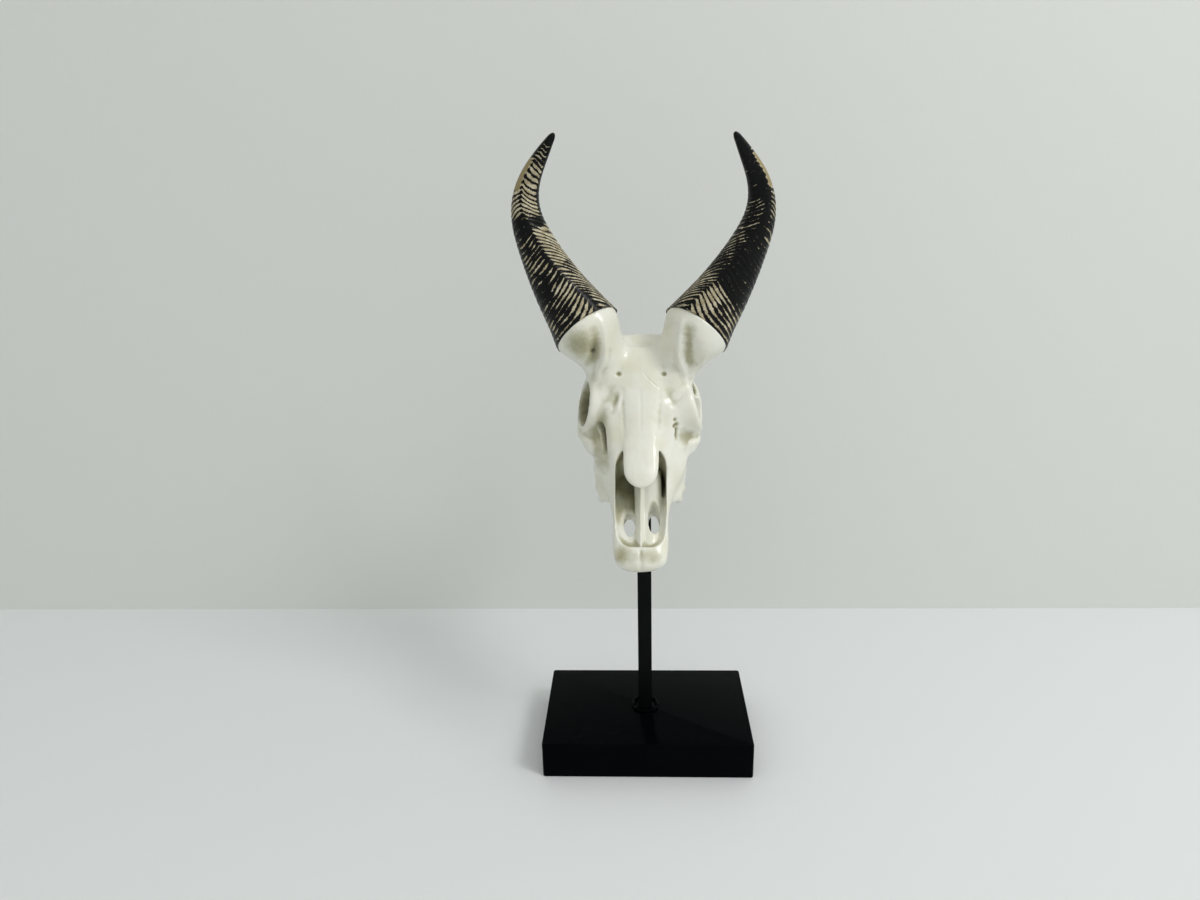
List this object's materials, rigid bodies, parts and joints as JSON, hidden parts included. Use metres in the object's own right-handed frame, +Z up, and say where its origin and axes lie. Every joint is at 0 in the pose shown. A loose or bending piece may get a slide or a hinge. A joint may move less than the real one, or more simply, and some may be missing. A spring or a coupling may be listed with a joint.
{
  "type": "antelope skull ornament",
  "caption": "Life-size cast resin springbok skull with ringed, keeled horns, tipped nose-down on a square bar over a black block; a still display piece.",
  "frame": {"origin": "middle of the block's underside, where the ornament stands", "axes": "+Z up, the face looks along -Y, +X to the viewer's right"},
  "size_m": [0.1986, 0.1624, 0.5215],
  "materials": {
    "ivory_resin": "cast resin under an ivory gloss lacquer",
    "horn_paint": "cast resin painted black, rubbed back to tan on the rings",
    "black_lacquer": "wood block under a gloss black lacquer",
    "black_steel": "square steel bar and washer, satin black paint"
  },
  "bodies": {
    "root": {"skull": "ivory_resin", "horn_left": "horn_paint", "horn_right": "horn_paint", "stand_base": "black_lacquer", "stand_rod": "black_steel", "stand_collar": "black_steel"}
  },
  "joints": []
}
